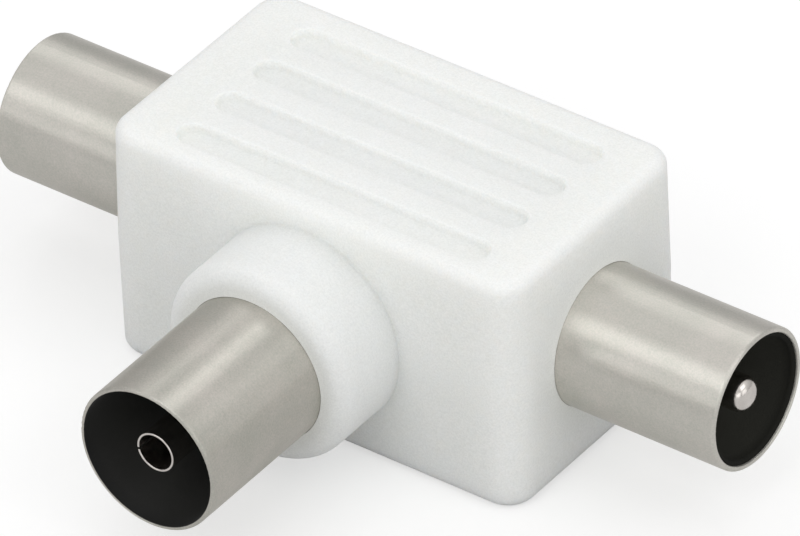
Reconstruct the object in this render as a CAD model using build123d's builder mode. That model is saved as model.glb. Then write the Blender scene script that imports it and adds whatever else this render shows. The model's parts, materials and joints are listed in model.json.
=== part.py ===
from build123d import *
from math import cos, radians, sin, tan
import os

# A television aerial splitter: two plugs in line and one socket at right angles to them.
# Millimetres. X runs along the two plugs, the socket points to -Y, Z is up.
# The origin is the centre of the underside, straight below the point where the three axes meet.

# Housing: one rounded block, tapered a little above and below its middle plane
housing_length = 31.3
housing_width = 18.2
housing_height = 17.2
housing_draft = 0.85
corner_radius = 2.1
edge_radius = 0.8

# Collar that carries the socket on the front of the housing, a little lower than the block
collar_inset = 1.65
collar_length = 5.6
collar_rim_radius = 1.2
collar_root_radius = 0.2

# Grip grooves, the same on top and underneath, set out inside a margin at the sides and the ends
groove_count = 4
groove_width = 2.1
groove_depth = 0.5
groove_side_margin = 2.11
groove_end_margin = 3.95
groove_shift_x = 0.25
groove_shift_y = -0.4
groove_floor_radius = 0.3
groove_lip_radius = 0.12

# Shells: the plug is the standard size, and the socket is bored to take such a plug
plug_diameter = 9.5
plug_wall = 0.36
plug_reach = 11.85
socket_play = 0.045
socket_wall = 0.285
socket_reach = 11.0

# Rounding of each shell's rim, as shares of its wall
rim_outer_share = 0.6
rim_inner_share = 0.2

# Body of each shell inside the moulding: thicker than the tube, and closed over at the mouth
body_step = 0.25
mouth_web = 0.18

# Root of each shell: a flange outside the screen box and a rolled lip inside it
flange_step = 0.9
flange_thickness = 0.8
neck_step = 1.3
neck_wall = 0.6
lip_step = 0.5
lip_thickness = 0.5
lip_radius = 0.15

# Folded tinplate screen box and its lid: the moulding is this thick over its ends, the plugs' flanges
# lie within its width, and its height leaves room for the solder rings over the lid's lip
end_wall = 4.15
flange_margin = 0.35
ring_room = 0.2
sheet = 0.4
screen_corner = 0.9
fold_radius = 0.8
lid_lip_height = 0.9

# Insulators
plug_insulator_base = 3.5
plug_liner = 0.3
plug_liner_recess = 0.15
plug_liner_mouth_radius = 0.2
socket_depth = 10.5

# Pins and contact
pin_diameter = 2.4
pin_recess = 0.43
pin_tip_radius = 0.85
contact_diameter = 2.77
contact_wall = 0.16
contact_recess = 0.85
contact_bore_depth = 11.0
contact_seam_width = 0.16
contact_seam_length = 9.3
contact_seam_angle = 9
contact_mouth_radius = 0.05
shoulder_step = 0.7
shoulder_thickness = 0.8
tail_length = 1.6
cup_depth = 1.8

# Wires and solder
wire_diameter = 0.8
wire_end_gap = 0.1
bend_run = 3.0
hook_angle = 230
solder_leg = 0.5
solder_collar = 0.7
junction_diameter = 2.9

# Clearances, each on the radius or on one face
moulding_gap = 0.03
press_gap = 0.03
neck_gap = 0.05
lid_gap = 0.04
cup_gap = 0.1
solder_gap = 0.02

# Sizes worked out from the ones above
axis_height = housing_height / 2
crossing = (0, 0, axis_height)
groove_length = housing_length - 2 * groove_end_margin
groove_pitch = (housing_width - 2 * groove_side_margin - groove_width) / (groove_count - 1)
plug_radius = plug_diameter / 2
plug_bore = plug_radius - plug_wall
socket_bore = plug_radius + socket_play
socket_radius = socket_bore + socket_wall
ring_radius = socket_radius - neck_step + lip_step + solder_gap + solder_leg
screen_length = housing_length - 2 * end_wall
screen_width = 2 * (plug_radius + flange_step + flange_margin)
screen_height = 2 * (ring_radius + ring_room + lid_lip_height + sheet)
screen_base = axis_height - screen_height / 2
pin_radius = pin_diameter / 2
contact_radius = contact_diameter / 2
wire_radius = wire_diameter / 2
plug_root = screen_length / 2
socket_root = screen_width / 2
plug_mouth = housing_length / 2
plug_rim = plug_mouth + plug_reach
hook_radius = wire_diameter + solder_gap
collar_radius = axis_height - collar_inset
collar_face = housing_width / 2 + collar_length
socket_rim = collar_face + socket_reach
rim_start = collar_face - collar_rim_radius
root_radius = collar_radius + collar_root_radius
flare_start = housing_width / 2 - root_radius * tan(radians(housing_draft))
collar_root = flare_start - collar_root_radius

# Each connector's axis, and the plane of its section: x is the radius, y runs outwards
LEFT = (-1, 0, 0)
RIGHT = (1, 0, 0)
FRONT = (0, -1, 0)
section_normal = {LEFT: (0, -1, 0), RIGHT: (0, 1, 0), FRONT: (1, 0, 0)}


def section_plane(outward):
    return Plane(origin=crossing, x_dir=(0, 0, 1), z_dir=section_normal[outward])


def connector_axis(outward):
    return Axis(crossing, outward)


def seat_at(root):
    return root + flange_thickness


def inner_end(root):
    return root - sheet - neck_gap - lip_thickness


def tail_end(root):
    return inner_end(root) - tail_length


# Outline of a shell, from its rim down the outside, round the rolled lip and back up the bore
def shell_outline(radius, bore, root, mouth, rim):
    body = radius + body_step
    neck = radius - neck_step
    lip = neck + lip_step
    neck_bore = neck - neck_wall
    flange = radius + flange_step
    lip_top = root - sheet - neck_gap
    return [
        (radius, rim),
        (radius, mouth - mouth_web),
        (body, mouth - mouth_web),
        (body, seat_at(root)),
        (flange, seat_at(root)),
        (flange, root),
        (neck, root),
        (neck, lip_top),
        (lip, lip_top),
        (lip, inner_end(root)),
        (neck_bore, inner_end(root)),
        (neck_bore, seat_at(root)),
        (bore, seat_at(root)),
        (bore, rim),
    ]


# Outline of the room that a shell takes in the moulding
def shell_room_outline(radius, root, mouth, rim):
    around = radius + moulding_gap
    body = around + body_step
    flange = radius + flange_step + moulding_gap
    return [
        (0, root - sheet),
        (flange, root - sheet),
        (flange, seat_at(root) + moulding_gap),
        (body, seat_at(root) + moulding_gap),
        (body, mouth - mouth_web + moulding_gap),
        (around, mouth - mouth_web + moulding_gap),
        (around, rim),
        (0, rim),
    ]


# Outline of the solder ring between a shell's lip and the inside of the box
def shell_solder_outline(radius, root):
    inside = radius - neck_step + lip_step + solder_gap
    wall = root - sheet
    return [(inside, wall), (inside + solder_leg, wall), (inside, wall - solder_leg)]


# Outline of the solder collar between a tail's cup and the wire in it
def tail_solder_outline(tail_radius, root):
    inside = wire_radius + solder_gap
    face = tail_end(root)
    return [
        (inside, face),
        (tail_radius, face),
        (inside + solder_gap, face - solder_collar),
        (inside, face - solder_collar),
    ]


# Screen box: folded tinplate, open underneath, with a round hole for each shell's neck
with BuildPart() as screen_box:
    with BuildSketch(Plane.XY.offset(screen_base + sheet)):
        RectangleRounded(screen_length, screen_width, screen_corner)
    extrude(amount=screen_height - sheet)
    fillet(screen_box.edges().group_by(Axis.Z)[-1], fold_radius)
    offset(amount=-sheet, openings=screen_box.faces().sort_by(Axis.Z)[0])
    plug_hole = plug_radius - neck_step + neck_gap
    socket_hole = socket_radius - neck_step + neck_gap
    with BuildSketch(Plane(origin=crossing, x_dir=(0, 0, 1), z_dir=RIGHT)):
        Circle(plug_hole)
    extrude(amount=screen_length, both=True, mode=Mode.SUBTRACT)
    with BuildSketch(Plane(origin=crossing, x_dir=(0, 0, 1), z_dir=FRONT)):
        Circle(socket_hole)
    extrude(amount=screen_width, mode=Mode.SUBTRACT)
screen_box.part.label = "screen_box"

# Lid: a plate of the box's outline, with a low lip that fits inside the walls
with BuildPart() as screen_lid:
    with BuildSketch(Plane.XY.offset(screen_base)):
        RectangleRounded(screen_length, screen_width, screen_corner)
    extrude(amount=sheet)
    lip_inset = sheet + lid_gap
    with BuildSketch(Plane.XY.offset(screen_base + sheet)):
        RectangleRounded(
            screen_length - 2 * lip_inset, screen_width - 2 * lip_inset, screen_corner - lip_inset
        )
        offset(amount=-sheet, kind=Kind.INTERSECTION, mode=Mode.SUBTRACT)
    extrude(amount=lid_lip_height)
screen_lid.part.label = "screen_lid"

# Room in the moulding for the closed screen box
with BuildPart() as screen_room:
    with BuildSketch(Plane.XY.offset(screen_base - moulding_gap)):
        RectangleRounded(
            screen_length + 2 * moulding_gap, screen_width + 2 * moulding_gap, screen_corner + moulding_gap
        )
    extrude(amount=screen_height + 2 * moulding_gap)
    fillet(screen_room.edges().group_by(Axis.Z)[-1], fold_radius + moulding_gap)

# Housing
with BuildPart() as housing:
    with BuildSketch(Plane.XY.offset(axis_height)):
        RectangleRounded(housing_length, housing_width, corner_radius)
    extrude(amount=axis_height, taper=housing_draft)
    with BuildSketch(Plane.XY.offset(axis_height)):
        RectangleRounded(housing_length, housing_width, corner_radius)
    extrude(amount=-axis_height, taper=housing_draft)
    fillet(housing.edges().group_by(Axis.Z)[0], edge_radius)
    fillet(housing.edges().group_by(Axis.Z)[-1], edge_radius)

    # Collar, with a rounded rim and a flared root where it leaves the front face
    with BuildSketch(section_plane(FRONT)):
        with BuildLine():
            Polyline((0, collar_face), (0, collar_root), (root_radius, collar_root), (root_radius, flare_start))
            CenterArc((root_radius, flare_start + collar_root_radius), collar_root_radius, 270, -90)
            Line((collar_radius, flare_start + collar_root_radius), (collar_radius, rim_start))
            CenterArc((collar_radius - collar_rim_radius, rim_start), collar_rim_radius, 0, 90)
            Line((collar_radius - collar_rim_radius, collar_face), (0, collar_face))
        make_face()
    revolve(axis=connector_axis(FRONT))

    # Grip grooves on both broad faces
    for face_height, into in ((housing_height, -groove_depth), (0, groove_depth)):
        with BuildSketch(Plane.XY.offset(face_height)):
            with Locations((groove_shift_x, groove_shift_y)):
                with GridLocations(0, groove_pitch, 1, groove_count):
                    SlotOverall(groove_length, groove_width)
        extrude(amount=into, mode=Mode.SUBTRACT)
        floor = face_height + into
        floor_edges = housing.edges().filter_by_position(Axis.Z, floor - 0.01, floor + 0.01)
        fillet(floor_edges, groove_floor_radius)
        broad_face = housing.faces().filter_by(Axis.Z).sort_by(Axis((0, 0, 0), (0, 0, -into)))[-1]
        fillet(broad_face.inner_wires().edges(), groove_lip_radius)

    # Rooms for the screen box and the three shells
    add(screen_room.part, mode=Mode.SUBTRACT)
    for outward, radius, root, mouth, rim in (
        (LEFT, plug_radius, plug_root, plug_mouth, plug_rim),
        (RIGHT, plug_radius, plug_root, plug_mouth, plug_rim),
        (FRONT, socket_radius, socket_root, collar_face, socket_rim),
    ):
        with BuildSketch(section_plane(outward)):
            with BuildLine():
                Polyline(*shell_room_outline(radius, root, mouth, rim), close=True)
            make_face()
        revolve(axis=connector_axis(outward), mode=Mode.SUBTRACT)
housing.part.label = "housing"

os.makedirs("parts", exist_ok=True)
export_step(screen_box.part, "parts/screen_box.step")
export_step(screen_lid.part, "parts/screen_lid.step")
export_step(housing.part, "parts/housing.step")

# The three shells, each turned in one piece, and the solder ring that joins it to the box
for name, outward, radius, bore, root, mouth, rim in (
    ("left_plug_shell", LEFT, plug_radius, plug_bore, plug_root, plug_mouth, plug_rim),
    ("right_plug_shell", RIGHT, plug_radius, plug_bore, plug_root, plug_mouth, plug_rim),
    ("socket_shell", FRONT, socket_radius, socket_bore, socket_root, collar_face, socket_rim),
):
    wall = radius - bore
    with BuildPart() as shell:
        with BuildSketch(section_plane(outward)):
            with BuildLine():
                Polyline(*shell_outline(radius, bore, root, mouth, rim), close=True)
            make_face()
        revolve(axis=connector_axis(outward))
        circles = shell.edges().filter_by(GeomType.CIRCLE).sort_by(connector_axis(outward))
        inner_rim, outer_rim = circles[-2:].sort_by(SortBy.RADIUS)
        fillet(inner_rim, rim_inner_share * wall)
        fillet(outer_rim, rim_outer_share * wall)
        fillet(shell.edges().group_by(connector_axis(outward))[0], lip_radius)
    shell.part.label = name
    export_step(shell.part, f"parts/{name}.step")

    with BuildPart() as shell_solder:
        with BuildSketch(section_plane(outward)):
            with BuildLine():
                Polyline(*shell_solder_outline(radius, root), close=True)
            make_face()
        revolve(axis=connector_axis(outward))
    solder_name = name.replace("_plug", "") + "_solder"
    shell_solder.part.label = solder_name
    export_step(shell_solder.part, f"parts/{solder_name}.step")

# Each plug's insulator is a cup: a spigot in the neck, a base on the seat and a wall along the bore
neck_bore_plug = plug_radius - neck_step - neck_wall
shoulder_radius = pin_radius + shoulder_step
base_front = seat_at(plug_root) + plug_insulator_base
liner_outside = plug_bore - press_gap
liner_inside = liner_outside - plug_liner
for side, outward in (("left", LEFT), ("right", RIGHT)):
    with BuildPart() as plug_insulator:
        with BuildSketch(section_plane(outward)):
            with BuildLine():
                Polyline(
                    (pin_radius + press_gap, inner_end(plug_root)),
                    (neck_bore_plug - press_gap, inner_end(plug_root)),
                    (neck_bore_plug - press_gap, seat_at(plug_root)),
                    (liner_outside, seat_at(plug_root)),
                    (liner_outside, plug_rim - plug_liner_recess),
                    (liner_inside, plug_rim - plug_liner_recess),
                    (liner_inside, base_front),
                    (shoulder_radius + press_gap, base_front),
                    (shoulder_radius + press_gap, base_front - shoulder_thickness),
                    (pin_radius + press_gap, base_front - shoulder_thickness),
                    close=True,
                )
            make_face()
        revolve(axis=connector_axis(outward))
        liner_end = plug_insulator.edges().filter_by(GeomType.CIRCLE).group_by(connector_axis(outward))[-1]
        fillet(liner_end.sort_by(SortBy.RADIUS)[0], plug_liner_mouth_radius)
    plug_insulator.part.label = f"{side}_plug_insulator"
    export_step(plug_insulator.part, f"parts/{side}_plug_insulator.step")

    # Pin with a rounded tip, a shoulder in the insulator and a cup in its tail for the wire
    with BuildPart() as plug_pin:
        with BuildSketch(section_plane(outward)):
            with BuildLine():
                Polyline(
                    (0, plug_rim - pin_recess),
                    (pin_radius, plug_rim - pin_recess),
                    (pin_radius, base_front),
                    (shoulder_radius, base_front),
                    (shoulder_radius, base_front - shoulder_thickness),
                    (pin_radius, base_front - shoulder_thickness),
                    (pin_radius, tail_end(plug_root)),
                    (wire_radius + cup_gap, tail_end(plug_root)),
                    (wire_radius + cup_gap, tail_end(plug_root) + cup_depth),
                    (0, tail_end(plug_root) + cup_depth),
                    close=True,
                )
            make_face()
        revolve(axis=connector_axis(outward))
        tip = plug_pin.edges().filter_by(GeomType.CIRCLE).sort_by(connector_axis(outward))[-1]
        fillet(tip, pin_tip_radius)
    plug_pin.part.label = f"{side}_plug_pin"
    export_step(plug_pin.part, f"parts/{side}_plug_pin.step")

    with BuildPart() as pin_solder:
        with BuildSketch(section_plane(outward)):
            with BuildLine():
                Polyline(*tail_solder_outline(pin_radius, plug_root), close=True)
            make_face()
        revolve(axis=connector_axis(outward))
    pin_solder.part.label = f"{side}_pin_solder"
    export_step(pin_solder.part, f"parts/{side}_pin_solder.step")

# The socket's insulator is a plug of the same kind without the wall, so that the bore stays free
neck_bore_socket = socket_radius - neck_step - neck_wall
contact_shoulder = contact_radius + shoulder_step
socket_floor = socket_rim - socket_depth
with BuildPart() as socket_insulator:
    with BuildSketch(section_plane(FRONT)):
        with BuildLine():
            Polyline(
                (contact_radius + press_gap, inner_end(socket_root)),
                (neck_bore_socket - press_gap, inner_end(socket_root)),
                (neck_bore_socket - press_gap, seat_at(socket_root)),
                (socket_bore - press_gap, seat_at(socket_root)),
                (socket_bore - press_gap, socket_floor),
                (contact_shoulder + press_gap, socket_floor),
                (contact_shoulder + press_gap, socket_floor - shoulder_thickness),
                (contact_radius + press_gap, socket_floor - shoulder_thickness),
                close=True,
            )
        make_face()
    revolve(axis=connector_axis(FRONT))
socket_insulator.part.label = "socket_insulator"
export_step(socket_insulator.part, "parts/socket_insulator.step")

# Contact: a rolled tube with its seam open a little below the left side, a shoulder and a wire cup
contact_tip = socket_rim - contact_recess
contact_bore = contact_radius - contact_wall
seam_turn = radians(contact_seam_angle)
with BuildPart() as socket_contact:
    with BuildSketch(section_plane(FRONT)):
        with BuildLine():
            Polyline(
                (contact_bore, contact_tip),
                (contact_radius, contact_tip),
                (contact_radius, socket_floor),
                (contact_shoulder, socket_floor),
                (contact_shoulder, socket_floor - shoulder_thickness),
                (contact_radius, socket_floor - shoulder_thickness),
                (contact_radius, tail_end(socket_root)),
                (wire_radius + cup_gap, tail_end(socket_root)),
                (wire_radius + cup_gap, tail_end(socket_root) + cup_depth),
                (0, tail_end(socket_root) + cup_depth),
                (0, contact_tip - contact_bore_depth),
                (contact_bore, contact_tip - contact_bore_depth),
                close=True,
            )
        make_face()
    revolve(axis=connector_axis(FRONT))
    mouth = socket_contact.edges().filter_by(GeomType.CIRCLE).sort_by(connector_axis(FRONT))[-2:]
    fillet(mouth, contact_mouth_radius)
    seam_side = (-cos(seam_turn), 0, -sin(seam_turn))
    with BuildSketch(Plane(origin=(0, -contact_tip, axis_height), x_dir=seam_side, z_dir=(0, 1, 0))):
        Rectangle(contact_diameter, contact_seam_width, align=(Align.MIN, Align.CENTER))
    extrude(amount=contact_seam_length, mode=Mode.SUBTRACT)
socket_contact.part.label = "socket_contact"
export_step(socket_contact.part, "parts/socket_contact.step")

with BuildPart() as contact_solder:
    with BuildSketch(section_plane(FRONT)):
        with BuildLine():
            Polyline(*tail_solder_outline(contact_radius, socket_root), close=True)
        make_face()
    revolve(axis=connector_axis(FRONT))
contact_solder.part.label = "contact_solder"
export_step(contact_solder.part, "parts/contact_solder.step")

# Straight wire from one pin's cup to the other's
through_half = tail_end(plug_root) + cup_depth - wire_end_gap
with BuildPart() as through_conductor:
    with BuildSketch(Plane(origin=crossing, x_dir=(0, 1, 0), z_dir=RIGHT)):
        Circle(wire_radius)
    extrude(amount=through_half, both=True)
through_conductor.part.label = "through_conductor"
export_step(through_conductor.part, "parts/through_conductor.step")

# Wire from the contact's cup, which rises a little and hooks round the straight wire
branch_start = tail_end(socket_root) + cup_depth - wire_end_gap
with BuildLine(section_plane(FRONT)) as branch_path:
    straight = Line((0, branch_start), (0, bend_run))
    rise = TangentArc(straight @ 1, (hook_radius / 2, bend_run / 2), tangent=straight % 1)
    level = TangentArc(rise @ 1, (hook_radius, 0), tangent=rise % 1)
    CenterArc((0, 0), hook_radius, 0, -hook_angle)

with BuildPart() as branch_conductor:
    with BuildSketch(Plane(origin=straight @ 0, x_dir=(1, 0, 0), z_dir=straight % 0)):
        Circle(wire_radius)
    sweep(path=branch_path.wires()[0])
branch_conductor.part.label = "branch_conductor"
export_step(branch_conductor.part, "parts/branch_conductor.step")

# Solder bead over the hook, with the two wires' room left in it
with BuildPart() as junction_solder:
    with Locations(crossing):
        Sphere(junction_diameter / 2)
    with BuildSketch(Plane(origin=crossing, x_dir=(0, 1, 0), z_dir=RIGHT)):
        Circle(wire_radius + solder_gap)
    extrude(amount=junction_diameter, both=True, mode=Mode.SUBTRACT)
    with BuildSketch(Plane(origin=straight @ 0, x_dir=(1, 0, 0), z_dir=straight % 0)):
        Circle(wire_radius + solder_gap)
    sweep(path=branch_path.wires()[0], mode=Mode.SUBTRACT)
junction_solder.part.label = "junction_solder"
export_step(junction_solder.part, "parts/junction_solder.step")
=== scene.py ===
import json
from math import cos, radians, sin

import bpy
from mathutils import Matrix, Vector

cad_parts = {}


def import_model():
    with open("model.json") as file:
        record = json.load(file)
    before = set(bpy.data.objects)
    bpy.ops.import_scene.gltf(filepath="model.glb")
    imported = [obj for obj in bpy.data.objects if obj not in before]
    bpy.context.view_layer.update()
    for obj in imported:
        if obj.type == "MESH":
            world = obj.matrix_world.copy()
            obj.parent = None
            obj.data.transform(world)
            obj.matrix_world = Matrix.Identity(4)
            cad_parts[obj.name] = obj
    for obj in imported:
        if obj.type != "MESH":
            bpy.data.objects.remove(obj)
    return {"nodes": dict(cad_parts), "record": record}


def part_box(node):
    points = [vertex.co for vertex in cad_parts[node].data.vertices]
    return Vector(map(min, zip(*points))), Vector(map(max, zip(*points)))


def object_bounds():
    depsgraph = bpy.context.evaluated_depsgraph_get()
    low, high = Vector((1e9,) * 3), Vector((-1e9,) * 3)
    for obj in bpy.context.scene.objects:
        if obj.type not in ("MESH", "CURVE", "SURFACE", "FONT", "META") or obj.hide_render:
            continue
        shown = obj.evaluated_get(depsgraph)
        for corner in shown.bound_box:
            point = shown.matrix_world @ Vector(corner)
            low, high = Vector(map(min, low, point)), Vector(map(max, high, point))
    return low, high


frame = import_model()
cad_low, cad_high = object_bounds()

# One millimetre in the frame's metres, and the coordinates by number
MM = 0.001
X, Y, Z = range(3)

# Where the axes of the three connectors meet
wire_low, wire_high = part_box("through_conductor")
CROSSING = (wire_low + wire_high) / 2

# The rims of the plugs and the socket, from the object's middle
PLUG_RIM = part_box("right_plug_shell")[1].x
SOCKET_RIM = -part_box("socket_shell")[0].y

# Radius of a plug outside and of the socket's bore
mounts = {mount["name"]: mount for mount in frame["record"]["mounts"]}
PLUG_RADIUS = mounts["right_plug"]["dims"]["r_mm"] * MM
SOCKET_BORE = mounts["socket"]["dims"]["r_mm"] * MM

# Camera, fitted to the outlines of the housing and the three tubes: angles in degrees, distances
# from the crossing in metres, focal length in pixels of the photo and sensor width in millimetres
CAMERA_AZIMUTH = 37.129
CAMERA_ELEVATION = 37.045
CAMERA_ROLL = -1.952
CAMERA_DISTANCE = 0.928655
CAMERA_RIGHT = 0.000371
CAMERA_DOWN = 0.001168
FOCAL_PIXELS = 14947.9
IMAGE_WIDTH = 800
SENSOR_WIDTH = 36.0
NEAREST_SEEN, FARTHEST_SEEN = 0.01, 100.0


def photo_camera():
    azimuth, elevation, roll = (radians(v) for v in (CAMERA_AZIMUTH, CAMERA_ELEVATION, CAMERA_ROLL))
    back = Vector((sin(azimuth) * cos(elevation), -cos(azimuth) * cos(elevation), sin(elevation)))
    level_right = (-back).cross(Vector((0, 0, 1))).normalized()
    level_down = (-back).cross(level_right)
    right = cos(roll) * level_right - sin(roll) * level_down
    down = sin(roll) * level_right + cos(roll) * level_down

    data = bpy.data.cameras.new("photo_camera")
    data.sensor_fit = "HORIZONTAL"
    data.sensor_width = SENSOR_WIDTH
    data.lens = FOCAL_PIXELS * SENSOR_WIDTH / IMAGE_WIDTH
    data.clip_start, data.clip_end = NEAREST_SEEN, FARTHEST_SEEN
    camera = bpy.data.objects.new("photo_camera", data)
    bpy.context.scene.collection.objects.link(camera)
    camera.rotation_mode = "QUATERNION"
    camera.rotation_quaternion = Matrix((right, -down, back)).transposed().to_quaternion()
    camera.location = CROSSING + back * CAMERA_DISTANCE + right * CAMERA_RIGHT + down * CAMERA_DOWN
    bpy.context.scene.camera = camera


# A noise reads mostly between these two levels
NOISE_LOW, NOISE_HIGH = 0.3, 0.7


class Tree:
    """A new material and short calls for the nodes that its finish is made of."""

    def __init__(self, name):
        self.material = bpy.data.materials.new(name)
        self.material.use_nodes = True
        self.nodes = self.material.node_tree.nodes
        self.links = self.material.node_tree.links
        self.nodes.clear()
        self.output = self.nodes.new("ShaderNodeOutputMaterial")
        self.place = self.nodes.new("ShaderNodeTexCoord").outputs["Object"]

    def feed(self, socket, value):
        """Give a socket another node's output, or a plain number or colour."""
        if isinstance(value, bpy.types.NodeSocket):
            self.links.new(value, socket)
        elif socket.type == "RGBA":
            socket.default_value = (*value, 1)
        else:
            socket.default_value = value

    def shader(self, **inputs):
        """The surface, with its inputs by name. What is the same all over is a plain value."""
        principled = self.nodes.new("ShaderNodeBsdfPrincipled")
        for name, value in inputs.items():
            self.feed(principled.inputs[name.replace("_", " ")], value)
        self.links.new(principled.outputs["BSDF"], self.output.inputs["Surface"])

    def math(self, operation, *values):
        node = self.nodes.new("ShaderNodeMath")
        node.operation = operation
        for socket, value in zip(node.inputs, values):
            self.feed(socket, value)
        return node.outputs[0]

    def coordinate(self, axis):
        parts = self.nodes.new("ShaderNodeSeparateXYZ")
        self.links.new(self.place, parts.inputs[0])
        return parts.outputs[axis]

    def off_axis(self, along):
        """Distance from the connectors' axis that runs along X or Y."""
        side = self.coordinate(Y if along == X else X)
        rise = self.math("SUBTRACT", self.coordinate(Z), CROSSING.z)
        squares = self.math("ADD", self.math("MULTIPLY", side, side), self.math("MULTIPLY", rise, rise))
        return self.math("SQRT", squares)

    def depth(self, along, rim):
        """How far behind its rim a point lies, in a connector along X or Y."""
        return self.math("SUBTRACT", rim, self.math("ABSOLUTE", self.coordinate(along)))

    def noise(self, size, stretch=(1, 1, 1), detail=3.0, roughness=0.5):
        """Noise whose features are about size metres, longer along the axes with a small stretch."""
        scaled = self.nodes.new("ShaderNodeMapping")
        scaled.inputs["Scale"].default_value = stretch
        self.links.new(self.place, scaled.inputs["Vector"])
        node = self.nodes.new("ShaderNodeTexNoise")
        node.inputs["Scale"].default_value = 1 / size
        node.inputs["Detail"].default_value = detail
        node.inputs["Roughness"].default_value = roughness
        self.links.new(scaled.outputs["Vector"], node.inputs["Vector"])
        return node.outputs["Fac"]

    def blend(self, large, fine, fine_share):
        """One noise of two: the fine one's share, and the rest of the large one."""
        rest = self.math("MULTIPLY", large, 1 - fine_share)
        return self.math("MULTIPLY_ADD", fine, fine_share, rest)

    def ramp(self, value, *stops):
        """Value to colour or number through (position, value) stops."""
        node = self.nodes.new("ShaderNodeValToRGB")
        elements = node.color_ramp.elements
        while len(elements) < len(stops):
            elements.new(0.5)
        for element, (position, colour) in zip(elements, stops):
            element.position = position
            element.color = (*colour, 1) if isinstance(colour, tuple) else (colour, colour, colour, 1)
        self.links.new(value, node.inputs["Fac"])
        return node.outputs["Color"]

    def vary(self, noise, low, high):
        """A colour or number that goes from low to high with a noise."""
        return self.ramp(noise, (NOISE_LOW, low), (NOISE_HIGH, high))

    def step(self, value, low, high):
        """Smooth 0 to 1 as the value goes from low to high."""
        node = self.nodes.new("ShaderNodeMapRange")
        node.interpolation_type = "SMOOTHSTEP"
        node.inputs["From Min"].default_value = low
        node.inputs["From Max"].default_value = high
        self.links.new(value, node.inputs["Value"])
        return node.outputs["Result"]

    def mix(self, factor, first, second):
        """From first to second as the factor goes from 0 to 1, each a colour or an output."""
        node = self.nodes.new("ShaderNodeMix")
        node.data_type = "RGBA"
        self.links.new(factor, node.inputs[0])
        colours = [socket for socket in node.inputs if socket.type == "RGBA"]
        for socket, value in zip(colours, (first, second)):
            self.feed(socket, value)
        return [socket for socket in node.outputs if socket.type == "RGBA"][0]

    def bump(self, noise, height, strength):
        node = self.nodes.new("ShaderNodeBump")
        node.inputs["Distance"].default_value = height
        node.inputs["Strength"].default_value = strength
        self.links.new(noise, node.inputs["Height"])
        return node.outputs["Normal"]

    def round_axis(self, along):
        """The direction that runs round the axis along X or Y."""
        node = self.nodes.new("ShaderNodeTangent")
        node.direction_type = "RADIAL"
        node.axis = "XYZ"[along]
        return node.outputs["Tangent"]


# White moulding: satin, with a fine spark-eroded grain and a very slight mottle. It is a little
# translucent, but not close round a metal tube, where the light inside the wall would be lost.
WHITE_TONES = (0.832, 0.844, 0.818), (0.950, 0.962, 0.934)
WHITE_ROUGHNESS = 0.52, 0.62
WHITE_GRAIN_SHARE = 0.75
LIGHT_SPREAD = 2.4 * MM
LIGHT_SPREAD_BY_COLOUR = 1.0, 0.95, 0.9
TUBE_CLOSE, TUBE_CLEAR = PLUG_RADIUS + 0.15 * MM, PLUG_RADIUS + 2.45 * MM


def white_moulding():
    tree = Tree("white_moulding")
    grain = tree.noise(0.13 * MM, detail=2, roughness=0.6)
    mottle = tree.noise(5 * MM, detail=4)
    nearest_axis = tree.math("MINIMUM", tree.off_axis(X), tree.off_axis(Y))
    tree.shader(
        Base_Color=tree.vary(tree.blend(mottle, grain, WHITE_GRAIN_SHARE), *WHITE_TONES),
        Roughness=tree.vary(tree.noise(1.2 * MM), *WHITE_ROUGHNESS),
        IOR=1.46,
        Subsurface_Weight=tree.step(nearest_axis, TUBE_CLOSE, TUBE_CLEAR),
        Subsurface_Radius=LIGHT_SPREAD_BY_COLOUR,
        Subsurface_Scale=LIGHT_SPREAD,
        Normal=tree.bump(grain, height=0.03 * MM, strength=1.0),
    )
    return tree.material


# Dull black inside a connector, with painted light: its tone is painted lighter with the depth behind
# the rim, where less light comes in, so that the inside reads evenly dark. Each tone stands at a share
# of that depth.
PAINTED_LIGHT_DEPTH = 6 * MM
PAINTED_DEPTH_LIGHT_TONES = ((0.0, 0.007), (0.17, 0.026), (0.5, 0.042), (0.8, 0.058))
LINING_BLUE = 0.85
LINING_ROUGHNESS = 0.8
CUP_LEVEL, SOCKET_LEVEL = 1.45, 0.42


# Painted light: the dark tones grow lighter with depth to offset the shade deep inside.
def dark_inside_painted_light(tree, along, rim, level):
    tones = [(place, level * tone) for place, tone in PAINTED_DEPTH_LIGHT_TONES]
    warm_greys = [(place, (tone, tone, LINING_BLUE * tone)) for place, tone in tones]
    return tree.ramp(tree.math("DIVIDE", tree.depth(along, rim), PAINTED_LIGHT_DEPTH), *warm_greys)


# Satin nickel plate: warm grey, turned round its axis, so that lights stretch along each tube.
# The socket's is painted dull black inside the bore as painted shade, kept no brighter than the cups.
PLUG_PLATE = (0.62, 0.62, 0.56), (0.78, 0.74, 0.69)
SOCKET_PLATE = (0.52, 0.52, 0.465), (0.68, 0.64, 0.59)
PLATE_ROUGHNESS = 0.40, 0.46
PLATE_GRAIN_SHARE = 0.6
MARK_STRETCH = 0.04
TURNED_FINISH, QUARTER_TURN = 0.9, 0.25
BORE_PAINTED_SHADE, BORE_EDGE = SOCKET_BORE + 0.01 * MM, SOCKET_BORE + 0.05 * MM


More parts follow.
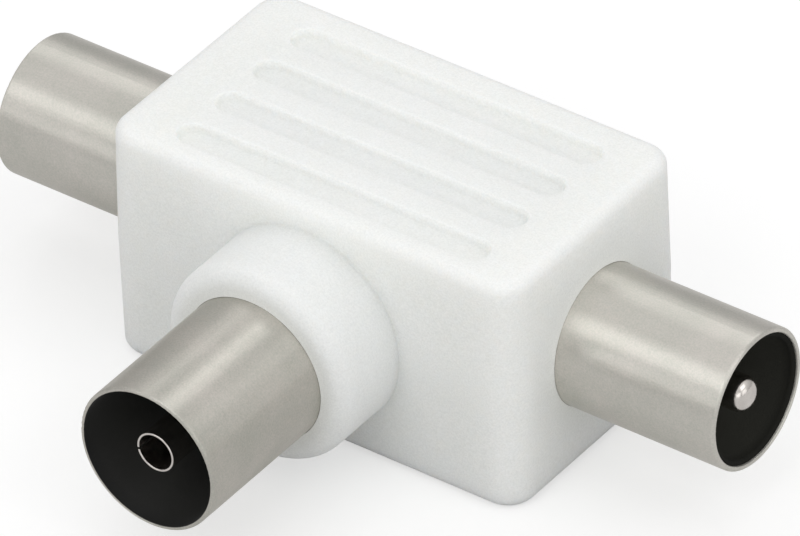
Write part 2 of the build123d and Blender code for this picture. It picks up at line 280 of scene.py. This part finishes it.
def nickel_plate(name, along, tones, painted_dark_bore=False):
    tree = Tree(name)
    stretch = tuple(MARK_STRETCH if axis == along else 1 for axis in (X, Y, Z))
    marks = tree.noise(0.35 * MM, stretch=stretch, detail=4, roughness=0.6)
    grain = tree.noise(0.12 * MM, detail=2)
    clouds = tree.noise(3 * MM)
    colour = tree.vary(tree.blend(clouds, grain, PLATE_GRAIN_SHARE), *tones)
    rough = tree.vary(marks, *PLATE_ROUGHNESS)
    metallic = 1.0
    if painted_dark_bore:
        # Painted shade: inside the bore the plate gives way to dull black, with painted depth light.
        metallic = tree.step(tree.off_axis(along), BORE_PAINTED_SHADE, BORE_EDGE)
        colour = tree.mix(metallic, dark_inside_painted_light(tree, along, SOCKET_RIM, SOCKET_LEVEL), colour)
        rough = tree.mix(metallic, (LINING_ROUGHNESS,) * 3, rough)
    tree.shader(
        Base_Color=colour,
        Metallic=metallic,
        Roughness=rough,
        IOR=1.5,
        Anisotropic=TURNED_FINISH,
        Anisotropic_Rotation=QUARTER_TURN,
        Tangent=tree.round_axis(along),
        Normal=tree.bump(grain, height=0.015 * MM, strength=0.8),
    )
    return tree.material


# Bright nickel of the pins and the contact, a little pinker than the shells
BRIGHT_TONES = (0.63, 0.59, 0.56), (0.75, 0.71, 0.67)
BRIGHT_ROUGHNESS = 0.14, 0.24


def bright_nickel():
    tree = Tree("nickel_bright")
    tree.shader(
        Base_Color=tree.vary(tree.noise(0.9 * MM), *BRIGHT_TONES),
        Metallic=1.0,
        Roughness=tree.vary(tree.noise(0.4 * MM), *BRIGHT_ROUGHNESS),
        Normal=tree.bump(tree.noise(0.3 * MM), height=0.006 * MM, strength=0.5),
    )
    return tree.material


# Black moulding of the cups and the socket's disc, its tone painted lighter with depth behind the
# plugs' rims as painted light
BLACK_ROUGHNESS = 0.75, 0.9
BLACK_SHINE = 0.08


def black_moulding():
    tree = Tree("black_moulding")
    tree.shader(
        Base_Color=dark_inside_painted_light(tree, X, PLUG_RIM, CUP_LEVEL),
        Roughness=tree.vary(tree.noise(0.5 * MM), *BLACK_ROUGHNESS),
        IOR=1.45,
        Specular_IOR_Level=BLACK_SHINE,
        Normal=tree.bump(tree.noise(0.12 * MM), height=0.02 * MM, strength=0.6),
    )
    return tree.material


# Plain metals inside the housing
TIN_TONES = (0.58, 0.58, 0.56), (0.68, 0.68, 0.66)
WIRE_TONES = (0.60, 0.56, 0.52), (0.72, 0.68, 0.63)
SOLDER_TONES = (0.50, 0.50, 0.50), (0.62, 0.62, 0.61)
TINNED_ROUGHNESS = 0.25, 0.38
SOLDER_ROUGHNESS = 0.35, 0.48


def inner_metal(name, tones, roughness):
    tree = Tree(name)
    tree.shader(
        Base_Color=tree.vary(tree.noise(1.0 * MM), *tones),
        Metallic=1.0,
        Roughness=tree.vary(tree.noise(0.4 * MM), *roughness),
        Normal=tree.bump(tree.noise(0.2 * MM), height=0.01 * MM, strength=0.4),
    )
    return tree.material


def dress(material, *nodes):
    for node in nodes:
        for slot in frame["nodes"][node].material_slots:
            slot.material = material


def dress_all():
    dress(white_moulding(), "housing")
    dress(nickel_plate("nickel_across", X, PLUG_PLATE), "left_plug_shell", "right_plug_shell")
    dress(nickel_plate("nickel_forward", Y, SOCKET_PLATE, painted_dark_bore=True), "socket_shell")
    dress(bright_nickel(), "left_plug_pin", "right_plug_pin", "socket_contact")
    dress(black_moulding(), "left_plug_insulator", "right_plug_insulator", "socket_insulator")
    dress(inner_metal("bright_tin", TIN_TONES, TINNED_ROUGHNESS), "screen_box", "screen_lid")
    wire = inner_metal("tinned_copper", WIRE_TONES, TINNED_ROUGHNESS)
    dress(wire, "through_conductor", "branch_conductor")
    solder = inner_metal("dull_solder", SOLDER_TONES, SOLDER_ROUGHNESS)
    dress(solder, "junction_solder", "left_pin_solder", "right_pin_solder", "contact_solder")
    dress(solder, "left_shell_solder", "right_shell_solder", "socket_shell_solder")


# Floor, a hair under the object: white to the camera and pale in reflections by a glow of its own,
# which keeps the object's shadow and sends no light to the object's dull surfaces
FLOOR_SIZE = 3.0
FLOOR_GAP = 0.02 * MM
FLOOR_DIFFUSE = 0.56
FLOOR_GLOW_SEEN = 0.49
FLOOR_GLOW_MIRRORED = 0.17


def floor():
    half, level = FLOOR_SIZE / 2, cad_low.z - FLOOR_GAP
    corners = [(-half, -half, level), (half, -half, level), (half, half, level), (-half, half, level)]
    mesh = bpy.data.meshes.new("floor")
    mesh.from_pydata(corners, [], [(0, 1, 2, 3)])
    plane = bpy.data.objects.new("floor", mesh)
    bpy.context.scene.collection.objects.link(plane)

    tree = Tree("floor")
    path = tree.nodes.new("ShaderNodeLightPath")
    mirrored = tree.math("MAXIMUM", path.outputs["Is Glossy Ray"], path.outputs["Is Transmission Ray"])
    mirrored = tree.math("MULTIPLY", mirrored, FLOOR_GLOW_MIRRORED)
    glow_level = tree.math("MULTIPLY_ADD", path.outputs["Is Camera Ray"], FLOOR_GLOW_SEEN, mirrored)
    diffuse = tree.nodes.new("ShaderNodeBsdfDiffuse")
    tree.feed(diffuse.inputs["Color"], (FLOOR_DIFFUSE,) * 3)
    glow = tree.nodes.new("ShaderNodeEmission")
    tree.feed(glow.inputs["Strength"], glow_level)
    both = tree.nodes.new("ShaderNodeAddShader")
    tree.feed(both.inputs[0], diffuse.outputs[0])
    tree.feed(both.inputs[1], glow.outputs[0])
    tree.feed(tree.output.inputs["Surface"], both.outputs[0])
    mesh.materials.append(tree.material)


# World: a soft grey sky, whose strength is greater overhead than at the horizon
SKY_GREY = 0.8
SKY_OVERHEAD = 1.08
SKY_HORIZON = 0.53


def world():
    sky = bpy.data.worlds.new("studio")
    bpy.context.scene.world = sky
    sky.use_nodes = True
    nodes, links = sky.node_tree.nodes, sky.node_tree.links
    nodes.clear()
    direction = nodes.new("ShaderNodeTexCoord").outputs["Generated"]
    height = nodes.new("ShaderNodeSeparateXYZ")
    links.new(direction, height.inputs[0])
    strength = nodes.new("ShaderNodeMapRange")
    strength.inputs["To Min"].default_value = SKY_HORIZON
    strength.inputs["To Max"].default_value = SKY_OVERHEAD
    links.new(height.outputs["Z"], strength.inputs["Value"])
    background = nodes.new("ShaderNodeBackground")
    background.inputs["Color"].default_value = (SKY_GREY, SKY_GREY, SKY_GREY, 1)
    links.new(strength.outputs["Result"], background.inputs["Strength"])
    output = nodes.new("ShaderNodeOutputWorld")
    links.new(background.outputs[0], output.inputs["Surface"])


# Soft lamps round the object, each a rectangle that faces the crossing of the tubes
LAMP_DISTANCE = 0.7
WIDE, SMALL = (0.40, 0.30), (0.20, 0.20)


def lamp(name, azimuth, elevation, size, power):
    """A soft lamp, with azimuth 0 towards -Y and 90 towards +X, in degrees, and power in watts."""
    turn, rise = radians(azimuth), radians(elevation)
    data = bpy.data.lights.new(name, "AREA")
    data.shape = "RECTANGLE"
    data.size, data.size_y = size
    data.energy = power
    light = bpy.data.objects.new(name, data)
    bpy.context.scene.collection.objects.link(light)
    light.location = LAMP_DISTANCE * Vector((sin(turn) * cos(rise), -cos(turn) * cos(rise), sin(rise)))
    light.rotation_euler = (CROSSING - light.location).to_track_quat("-Z", "Y").to_euler()


def lights():
    lamp("front_high", 0, 46, WIDE, 0.732)
    lamp("front_right_low", 45, 15, WIDE, 0.380)
    lamp("right_high", 90, 46, WIDE, 0.356)
    lamp("right_low", 90, 15, WIDE, 0.268)
    lamp("front_left_low", 330, 13, SMALL, 0.250)
    lamp("back_left_high", 228, 49, SMALL, 0.150)
    lamp("back_high", 180, 50, SMALL, 0.300)


bpy.context.scene.view_settings.view_transform = "Standard"
photo_camera()
dress_all()
floor()
world()
lights()
